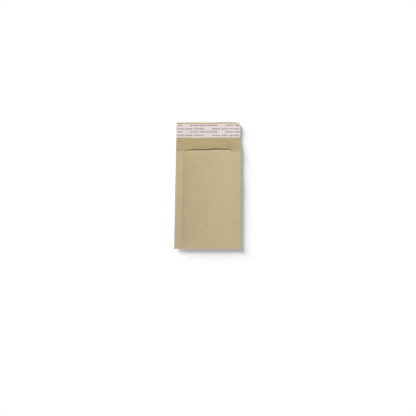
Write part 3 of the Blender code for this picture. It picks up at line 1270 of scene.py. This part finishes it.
@dataclass
class BubbleFilm:
    """The bubble film that lines the pocket: a folded web, and an air bubble at each lattice place.

    The pocket is clear from clear_low up to the same distance below the pouch's height. Where there is
    less room than that, near a seam, a bubble keeps its squashed share of the half gap.
    """

    faces: PaperFaces
    lattice: BubbleLattice
    seal_cells: int = 4
    pocket_cells: int = 44
    panel_rows: int = 84
    fold_rows: int = 6
    glue_line: float = 0.00003
    film: float = 0.00010
    side_inset: float = 0.0005
    bubble_radius: float = 0.0051
    bubble_height: float = 0.0029
    clear_low: float = 0.0031
    squashed_share: float = 0.30
    bubble_segments: int = 24
    bubble_rings: int = 12
    least_radius: float = 0.0001
    boxiness: float = 0.72
    foot_share: float = 0.02
    unevenness: float = 0.05
    ply_gap: float = 0.00004
    seed: int = 17

    @property
    def inner_depth(self) -> float:
        """How far the web's pocket face lies inside the paper's outer face."""
        return self.faces.form.paper + self.glue_line + self.film

    def web(self, material: Material) -> Piece:
        """The flat film, folded once at the foot and welded in the side seals.

        Args:
            material: the film's material.

        Returns:
            The web.
        """
        grid = WebGrid(self.faces, self.seal_cells, self.pocket_cells, self.panel_rows, self.fold_rows)
        depth = self.faces.form.paper + self.glue_line
        points = grid.wrap(self.lattice.end_y, depth, self.side_inset, self.side_inset)
        web = lay_grid("film_web", points)
        thicken(web, self.film, [material])
        return settle(web)

    @property
    def bubble_sizes(self) -> dict[str, float]:
        """The tree's named sizes."""
        return {"Boxiness": self.boxiness, "Foot": self.foot_share, "Unevenness": self.unevenness}

    def bubble_tree(self) -> PointTree:
        """One closed bubble on each point: a sphere made boxy above and flat below.

        Returns:
            The tree, with sizes and a seed as inputs.
        """
        tree = PointTree("film_bubbles", self.bubble_sizes, ("Seed",))
        given, calc = tree.given, tree.math
        ball = tree.add("GeometryNodeMeshUVSphere", {"Segments": self.bubble_segments,
                                                     "Rings": self.bubble_rings, "Radius": 1.0})
        place = tree.add("GeometryNodeInputPosition").outputs[0]
        x, y, z = tree.add("ShaderNodeSeparateXYZ", {0: place}).outputs
        square = calc("ADD", calc("MULTIPLY", x, x), calc("MULTIPLY", y, y))
        radius = calc("MAXIMUM", calc("SQRT", square), self.least_radius)
        spread = calc("POWER", radius, calc("SUBTRACT", given["Boxiness"], 1.0))
        rise = calc("POWER", calc("MAXIMUM", z, 0.0), given["Boxiness"])
        foot = calc("MULTIPLY", calc("MINIMUM", z, 0.0), given["Foot"])
        shape = tree.add("ShaderNodeCombineXYZ", {0: calc("MULTIPLY", x, spread),
                                                  1: calc("MULTIPLY", y, spread),
                                                  2: calc("ADD", rise, foot)}).outputs[0]
        dome = tree.add("GeometryNodeSetPosition", {"Geometry": ball.outputs[0], "Position": shape})
        smallest, largest = (calc(way, 1.0, given["Unevenness"]) for way in ("SUBTRACT", "ADD"))
        uneven = tree.add("FunctionNodeRandomValue", data_type="FLOAT")
        tree.give(uneven, {**dict(zip(RANDOM_RANGE, (smallest, largest))), "Seed": given["Seed"]})
        size = tree.add("ShaderNodeVectorMath", {0: tree.named("size"), "Scale": uneven.outputs[1]},
                        operation="SCALE")
        tree.plant(dome.outputs[0], size.outputs[0])
        return tree

    def bubble_rise(self, ply: Ply, x: Field, y: Field) -> Field:
        """How far a bubble stands out of the web: to the clear space, or squashed near a seam.

        Args:
            ply: the ply.
            x: places across the width.
            y: places along the length.

        Returns:
            The bubbles' heights.
        """
        low = self.faces.point(Ply.BACK, x, y, self.inner_depth)[..., 2]
        high = self.faces.point(Ply.FRONT, x, y, self.inner_depth)[..., 2]
        squashed = self.squashed_share * (high - low) / 2
        if ply is Ply.BACK:
            room = self.clear_low - low
        else:
            room = high - (self.faces.form.height - self.clear_low)
        return np.maximum(squashed, np.minimum(self.bubble_height, room))

    def bubbles(self, ply: Ply, tree: PointTree, material: Material) -> Piece:
        """All bubbles of one ply.

        Args:
            ply: the ply.
            tree: the tree that makes a bubble on each point.
            material: the film's material.

        Returns:
            The piece, with no bubble past the middle between the plies.
        """
        x, y = self.lattice.centres().T
        rise = self.bubble_rise(ply, x, y)
        radius = np.full_like(rise, self.bubble_radius)
        size = np.stack((radius, radius, rise), axis=-1)
        places = self.faces.point(ply, x, y, self.inner_depth)
        attributes = {"size": size, "lean": self.faces.normal_up(ply, x, y)}
        values = {**self.bubble_sizes, "Seed": self.seed, "Material": material}
        piece = tree.run("film_bubbles_" + ply.name.lower(), places, attributes, values)
        self.keep_apart(piece, ply)
        return piece

    def keep_apart(self, piece: Piece, ply: Ply) -> None:
        """Press a ply's bubbles between its own paper and the middle of the pocket.

        Args:
            piece: all bubbles of the ply.
            ply: the ply.
        """
        mesh = piece.data
        flat = np.zeros(len(mesh.vertices) * 3, dtype=np.float32)
        mesh.vertices.foreach_get("co", flat)
        points = flat.reshape(-1, 3).astype(float)
        x, y, z = points.T
        low = self.faces.height(Ply.BACK, x, y) + self.inner_depth - self.film
        high = self.faces.height(Ply.FRONT, x, y) - self.inner_depth + self.film
        middle = (low + high) / 2
        if ply is Ply.BACK:
            points[:, 2] = np.clip(z, low, np.maximum(low, middle - self.ply_gap / 2))
        else:
            points[:, 2] = np.clip(z, np.minimum(high, middle + self.ply_gap / 2), high)
        mesh.vertices.foreach_set("co", points.astype(np.float32).ravel())
        mesh.update()

    def build(self) -> list[Piece]:
        """Model and dress the film.

        Returns:
            The web, and the bubbles of each ply.
        """
        material = FilmFinish().material()
        tree = self.bubble_tree()
        pieces = [self.web(material)]
        pieces += [self.bubbles(ply, tree, material) for ply in Ply]
        return [hand_over(piece, "bubble_liner") for piece in pieces]


@dataclass
class FlapDressing:
    """What lies on the flap: the glue strip, the release paper over it, and its printed marks."""

    faces: PaperFaces
    columns: int = 120
    rows: int = 44
    margin: float = 0.0021
    height: float = 0.0210
    side_inset: float = 0.0002
    glue_inset: float = 0.0025
    clearance: float = 0.00004
    glue: float = 0.0002
    release: float = 0.00012
    edge_droop_reach: float = 0.0022
    end_lift: float = 0.00045
    end_lift_reach: float = 0.009
    cockle: Ripple = Ripple(height=0.00005, shortest=0.012, longest=0.035, waves=4, seed=53, spread=0.5)
    print_rows: tuple[float, ...] = (0.0902, 0.0850, 0.0805, 0.0752)
    groups: tuple[float, ...] = (0.0118, 0.0105, 0.0030, 0.0105)
    spaces: tuple[float, ...] = (0.0022, 0.0015, 0.0015, 0.0121)
    row_shifts: tuple[float, ...] = (0.0201, 0.0)
    first_group: float = -0.0459
    mark_widths: tuple[float, ...] = (0.0009, 0.0012, 0.0007, 0.0010, 0.0006, 0.0013, 0.0008)
    mark_gap: float = 0.00042
    mark_heights: tuple[float, ...] = (0.0017, 0.0019, 0.0025, 0.0016, 0.0023)
    print_drop_share: float = 0.4
    drop_power: int = 3
    mark_thickness: float = 0.00004
    print_margin: float = 0.0008
    mark_slope_step: float = 0.0005

    @property
    def high_y(self) -> float:
        """Y of the release paper's upper edge, before the corner's drop."""
        return self.faces.form.top_y - self.margin

    def strip(self, inset: float) -> tuple[Field, Field, Field]:
        """X and Y of a strip's grid.

        Args:
            inset: how far the strip's edges lie inside the release paper's, on all sides.

        Returns:
            X, Y with the corner's drop, and the distance to the release paper's nearest long edge.
        """
        form = self.faces.form
        level = np.linspace(self.high_y - inset, self.high_y - self.height + inset, self.rows + 1)[:, None]
        start = form.left_edge(level) + self.side_inset + inset
        end = form.right_edge(level) - self.side_inset - inset
        x = between(start, end, np.linspace(0.0, 1.0, self.columns + 1)[None, :])
        return x, level - self.drop(x, level), self.edge_distance(level)

    def edge_distance(self, level: Field) -> Field:
        """Distance from a level Y to the release paper's nearest long edge, before the drop."""
        return self.height / 2 - np.abs(level - self.high_y + self.height / 2)

    def drop(self, x: Field, level: Field) -> Field:
        """How far a strip follows the dip of the flap's free edge, less so farther from that edge."""
        form = self.faces.form
        return (form.top_y - form.flap_end(x)) * ((level - form.lip_y) / form.flap_length) ** self.drop_power

    def release_depth(self, x: Field, y: Field, from_edge: Field) -> Field:
        """How far the release paper's lower face lies above the flap's outer face.

        Args:
            x: places across the width.
            y: places along the length.
            from_edge: distance to the release paper's nearest long edge.

        Returns:
            The distance along the flap's normal.
        """
        form = self.faces.form
        over_glue = ease(from_edge / self.edge_droop_reach)
        ends = np.minimum(x - form.left_edge(y), form.right_edge(y) - x)
        lift = self.end_lift * ease(1.0 - ends / self.end_lift_reach)
        step = self.clearance + (self.glue + self.clearance) * over_glue
        return form.paper + step + lift + np.abs(self.cockle.at(x, y))

    def release_top(self, x: Field, y: Field, from_edge: Field) -> Field:
        """Points of the release paper's upper face."""
        return self.faces.point(Ply.BACK, x, y, self.release_depth(x, y, from_edge) + self.release)

    def glue_strip(self) -> Piece:
        """The strip of hot melt.

        Returns:
            The piece.
        """
        x, y, _ = self.strip(self.glue_inset)
        points = self.faces.point(Ply.BACK, x, y, self.faces.form.paper + self.clearance + self.glue)
        strip = lay_grid("glue_strip", points[::-1])
        thicken(strip, self.glue, [HOT_MELT.material()])
        return hand_over(settle(strip), "adhesive_strip")

    def release_strip(self) -> Piece:
        """The peel-off paper, which droops past the glue and lifts a little at its ends.

        Returns:
            The piece.
        """
        strip = lay_grid("release_strip", self.release_top(*self.strip(0.0))[::-1])
        thicken(strip, self.release, [RELEASE_PAPER.material()])
        return hand_over(settle(strip), "release_liner")

    def mark_places(self) -> tuple[Field, Field]:
        """Lay out the print: groups of plain blocks in rows.

        Returns:
            X and Y of each block's middle, and its width and height.
        """
        places = []
        sizes = []
        count = 0
        period = sum(self.groups) + sum(self.spaces)
        margin = self.side_inset + self.print_margin
        high = self.faces.form.width / 2 - margin
        for line, y in enumerate(self.print_rows):
            low = self.faces.form.left_edge(y) + margin
            group_start = self.first_group + self.row_shifts[line % 2] - 2 * period
            while group_start < high:
                for group, space in zip(self.groups, self.spaces):
                    start = group_start
                    while start < group_start + group - self.mark_gap:
                        wide = self.mark_widths[count % len(self.mark_widths)]
                        tall = self.mark_heights[count % len(self.mark_heights)]
                        if low < start + wide / 2 < high:
                            places.append((start + wide / 2, y))
                            sizes.append((wide, tall))
                        start += wide + self.mark_gap
                        count += 1
                    group_start += group + space
        return np.array(places), np.array(sizes)

    def mark_tree(self) -> PointTree:
        """One thin block on each point.

        Returns:
            The tree, with the block's thickness as an input.
        """
        tree = PointTree("printed_marks", {"Thickness": self.mark_thickness})
        block = tree.add("GeometryNodeMeshCube", {"Size": (1.0, 1.0, 1.0)})
        wide, tall, _ = tree.add("ShaderNodeSeparateXYZ", {0: tree.named("size")}).outputs
        size = tree.add("ShaderNodeCombineXYZ", {0: wide, 1: tall, 2: tree.given["Thickness"]})
        tree.plant(block.outputs[0], size.outputs[0])
        return tree

    def printed_marks(self) -> Piece:
        """Rows of plain blocks on the release paper.

        Returns:
            The piece.
        """
        places, sizes = self.mark_places()
        x, level = places.T
        y = level - self.print_drop_share * self.drop(x, level)
        from_edge = self.edge_distance(level)
        step = self.mark_slope_step
        across = self.release_top(x + step, y, from_edge) - self.release_top(x - step, y, from_edge)
        along = self.release_top(x, y + step, from_edge) - self.release_top(x, y - step, from_edge)
        attributes = {"size": np.column_stack((sizes, np.zeros(len(sizes)))),
                      "lean": np.cross(across, along) / (2 * step) ** 2}
        values = {"Thickness": self.mark_thickness, "Material": MAUVE_INK.material()}
        tops = self.release_top(x, y, from_edge)
        return hand_over(self.mark_tree().run("release_print", tops, attributes, values))

    def build(self) -> list[Piece]:
        """Model and dress what lies on the flap."""
        return [self.glue_strip(), self.release_strip(), self.printed_marks()]


@dataclass(frozen=True)
class FarLamp:
    """A far lamp.

    Its share is what it gives of full light on a level face. Its place and width are in degrees, and
    its azimuth runs from +X towards +Y.
    """

    name: str
    share: float
    elevation: float
    azimuth: float
    width: float

    def build(self) -> Piece:
        """Make the lamp.

        Returns:
            The lamp, in the scene.
        """
        rise, heading = math.radians(self.elevation), math.radians(self.azimuth)
        data = bpy.data.lights.new(self.name, "SUN")
        data.energy = self.share * math.pi / math.sin(rise)
        data.angle = math.radians(self.width)
        lamp = add_to_scene(self.name, data)
        level = math.cos(rise)
        towards = Vector((level * math.cos(heading), level * math.sin(heading), math.sin(rise)))
        lamp.rotation_mode = "QUATERNION"
        lamp.rotation_quaternion = towards.to_track_quat("Z", "Y")
        return lamp


@dataclass(frozen=True)
class NearPanel:
    """A near square lamp."""

    name: str
    place: Triple
    size: float
    power: float

    def build(self) -> Piece:
        """Make the lamp.

        Returns:
            The lamp, in the scene, hidden from the camera.
        """
        data = bpy.data.lights.new(self.name, "AREA")
        data.energy = self.power
        data.size = self.size
        lamp = add_to_scene(self.name, data)
        lamp.location = self.place
        lamp.visible_camera = False
        return lamp


class Lights(Enum):
    """What a lamp lights: the floor alone, or everything else."""

    FLOOR = "INCLUDE"
    OBJECT = "EXCLUDE"


@dataclass
class Studio:
    """Plain pale floor, soft light from above and a camera that looks straight down.

    The panel stands beyond the flap, so that the light falls off a little towards the foot.
    """

    lens: float = 85.0
    sensor: float = 36.0
    clip: Pair = (0.01, 50.0)
    frame_width: float = 0.624
    aim: Pair = (0.0012, -0.0335)
    floor_size: float = 8.0
    floor_drop: float = 0.0001
    floor_tone: Color = (0.985, 0.985, 0.987)
    floor_glow: float = 0.30
    white: Color = (1.0, 1.0, 1.0)
    sky: float = 0.18
    key: FarLamp = FarLamp("key_light", share=0.56, elevation=66.0, azimuth=-46.0, width=4.0)
    panel: NearPanel = NearPanel("panel_light", place=(0.10, 0.22, 0.46), size=0.25, power=0.76)
    low: FarLamp = FarLamp("floor_light", share=0.86, elevation=21.5, azimuth=139.0, width=34.0)

    def camera(self) -> None:
        """The photograph's view: straight down, with +Y up in the picture."""
        data = bpy.data.cameras.new("camera")
        data.lens = self.lens
        data.sensor_width = self.sensor
        data.clip_start, data.clip_end = self.clip
        camera = add_to_scene("camera", data)
        camera.location = (*self.aim, self.frame_width * self.lens / self.sensor)
        bpy.context.scene.camera = camera

    def seen(self, wiring: Wiring) -> Socket:
        """Tell rays that show the surroundings to the camera, in gloss or through film, from light.

        Args:
            wiring: the wiring of the floor's or the world's nodes.

        Returns:
            1 for such rays and 0 for others.
        """
        path = wiring.add("ShaderNodeLightPath").outputs
        looked = wiring.math("MAXIMUM", path["Is Camera Ray"], path["Is Glossy Ray"])
        return wiring.math("MAXIMUM", looked, path["Is Transmission Ray"])

    def floor(self) -> Piece:
        """The floor, which shows nearly white and keeps the shadow.

        Returns:
            The floor.
        """
        half = self.floor_size / 2
        corners = [(-half, -half), (half, -half), (half, half), (-half, half)]
        floor = mesh_object("floor", [(x, y, -self.floor_drop) for x, y in corners], [(0, 1, 2, 3)])
        tone = (*self.floor_tone, 1.0)
        wiring = FinishWiring("floor_pale")
        floor.data.materials.append(
            wiring.finish({"Base Color": tone, "Roughness": 1.0, "Specular IOR Level": 0.0}))
        glow = wiring.add("ShaderNodeEmission", {"Color": tone, "Strength": 1.0}).outputs[0]
        share = wiring.math("MULTIPLY", self.seen(wiring), self.floor_glow)
        mixed = wiring.add("ShaderNodeMixShader", {0: share, 1: wiring.shader.outputs[0], 2: glow})
        wiring.give(wiring.tree.nodes["Material Output"], {"Surface": mixed.outputs[0]})
        return floor

    def world(self) -> None:
        """White surroundings that give a small even light."""
        world = bpy.data.worlds.new("surroundings")
        bpy.context.scene.world = world
        world.use_nodes = True
        world.node_tree.nodes.clear()
        wiring = Wiring(world.node_tree)
        light, white = (wiring.add("ShaderNodeBackground", {"Color": (*self.white, 1.0),
                                                            "Strength": strength}).outputs[0]
                        for strength in (self.sky, 1.0))
        mixed = wiring.add("ShaderNodeMixShader", {0: self.seen(wiring), 1: light, 2: white})
        wiring.add("ShaderNodeOutputWorld", {"Surface": mixed.outputs[0]})

    def reserve(self, lamp: Piece, floor: Piece, lights: Lights) -> None:
        """Keep a lamp's light to the floor, or off it.

        Args:
            lamp: the lamp.
            floor: the floor.
            lights: what the lamp lights.
        """
        group = bpy.data.collections.new(lamp.name + "_receivers")
        group.objects.link(floor)
        lamp.light_linking.receiver_collection = group
        group.collection_objects[0].light_linking.link_state = lights.value

    def build(self) -> None:
        """Set up the camera, the floor and the light."""
        bpy.context.scene.view_settings.view_transform = "Standard"
        self.camera()
        self.world()
        floor = self.floor()
        self.reserve(self.key.build(), floor, Lights.OBJECT)
        self.reserve(self.panel.build(), floor, Lights.OBJECT)
        self.reserve(self.low.build(), floor, Lights.FLOOR)


def count_triangles(piece: Piece) -> int:
    """Number of triangles in a piece."""
    return sum(len(face.vertices) - 2 for face in piece.data.polygons)


def main() -> None:
    """Build, dress and light the envelope, and report each piece."""
    logging.basicConfig(level=logging.INFO, format="%(message)s", stream=sys.stdout)
    form = PouchForm.from_frame()
    lattice = BubbleLattice(form)
    faces = PaperFaces(form, PaperRelief(form, lattice))
    for assembly in (KraftSheet(faces), BubbleFilm(faces, lattice), FlapDressing(faces)):
        for piece in assembly.build():
            log.info("%s: %d triangles", piece.name, count_triangles(piece))
    Studio().build()


if __name__ == "__main__":
    main()
